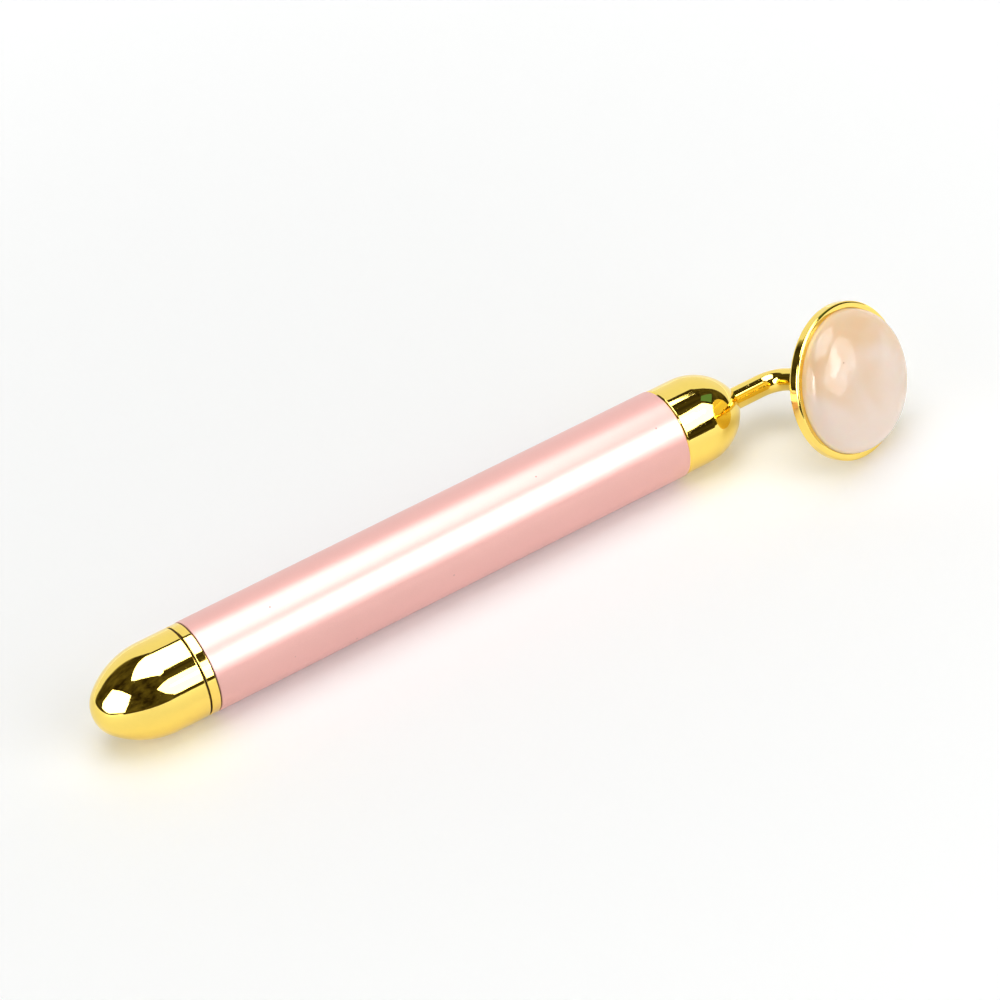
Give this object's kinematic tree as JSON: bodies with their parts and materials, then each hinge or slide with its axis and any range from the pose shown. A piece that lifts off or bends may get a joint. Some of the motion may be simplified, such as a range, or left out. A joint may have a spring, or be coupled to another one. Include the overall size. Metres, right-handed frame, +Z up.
{
  "type": "vibrating beauty bar",
  "caption": "Slim battery-powered facial massage bar: pink metal barrel, gold bullet tail cap that twists on and off, and a domed rose stone set in a gold tray on a bent stem.",
  "frame": {"origin": "on the bar's axis, half way along the barrel tube", "axes": "+X along the bar towards the head, +Z up from the table it lies on; the head leans to -Y and up"},
  "size_m": [0.1627, 0.0337, 0.0279],
  "materials": {
    "gold_plate": "polished",
    "pink_anodised": "satin",
    "rose_stone": "polished, cloudy",
    "cement": "matt",
    "white_plastic": "matt",
    "black_rubber": "matt",
    "bare_brass": "bare",
    "steel": "bare",
    "spring_steel": "nickel plated",
    "cell_wrap": "plain wrap",
    "magnet": "sintered",
    "core_iron": "laminated",
    "enamelled_copper": "enamelled",
    "red_insulation": "satin",
    "black_insulation": "satin"
  },
  "bodies": {
    "barrel": {"tail_collar": "gold_plate", "seal_ring": "black_rubber", "barrel_tube": "pink_anodised", "battery_sleeve": "white_plastic", "battery_cell": "cell_wrap", "return_strip": "bare_brass", "positive_contact": "bare_brass", "contact_bulkhead": "white_plastic", "positive_lead": "red_insulation", "negative_lead": "black_insulation", "motor_cradle_lower": "white_plastic", "motor_cradle_upper": "white_plastic", "motor_can": "steel", "motor_magnets": "magnet", "motor_end_bell": "white_plastic", "motor_terminals": "bare_brass", "motor_brushes": "bare_brass", "motor_rear_bush": "bare_brass", "motor_front_bush": "bare_brass", "front_cap": "gold_plate", "stem_washer": "steel", "stem_nut": "steel", "stem": "gold_plate", "head_tray": "gold_plate", "stone_cement": "cement", "stone": "rose_stone"},
    "tail_contact": {"tail_contact_plate": "bare_brass", "tail_spring": "spring_steel"},
    "tail_cap": {"tail_cap": "gold_plate"},
    "rotor": {"motor_shaft": "steel", "rotor_core": "core_iron", "rotor_windings": "enamelled_copper", "commutator": "bare_brass", "eccentric_weight": "steel"}
  },
  "joints": [
    {"name": "cap_travel", "type": "slide", "parent": "barrel", "child": "tail_contact", "axis": [-1, 0, 0], "range_m": [-0.00023, 0.0045]},
    {"name": "cap_twist", "type": "hinge", "parent": "tail_contact", "child": "tail_cap", "pos_m": [-0.056, 0, 0], "axis": [-1, 0, 0], "range_deg": [-54, 1080]},
    {"name": "rotor_spin", "type": "hinge", "parent": "barrel", "child": "rotor", "pos_m": [0.025, 0, 0], "axis": [1, 0, 0], "continuous": true}
  ],
  "couplings": [
    {"joint": "cap_travel", "follows": "cap_twist", "m_per_rad": 0.00023873}
  ]
}
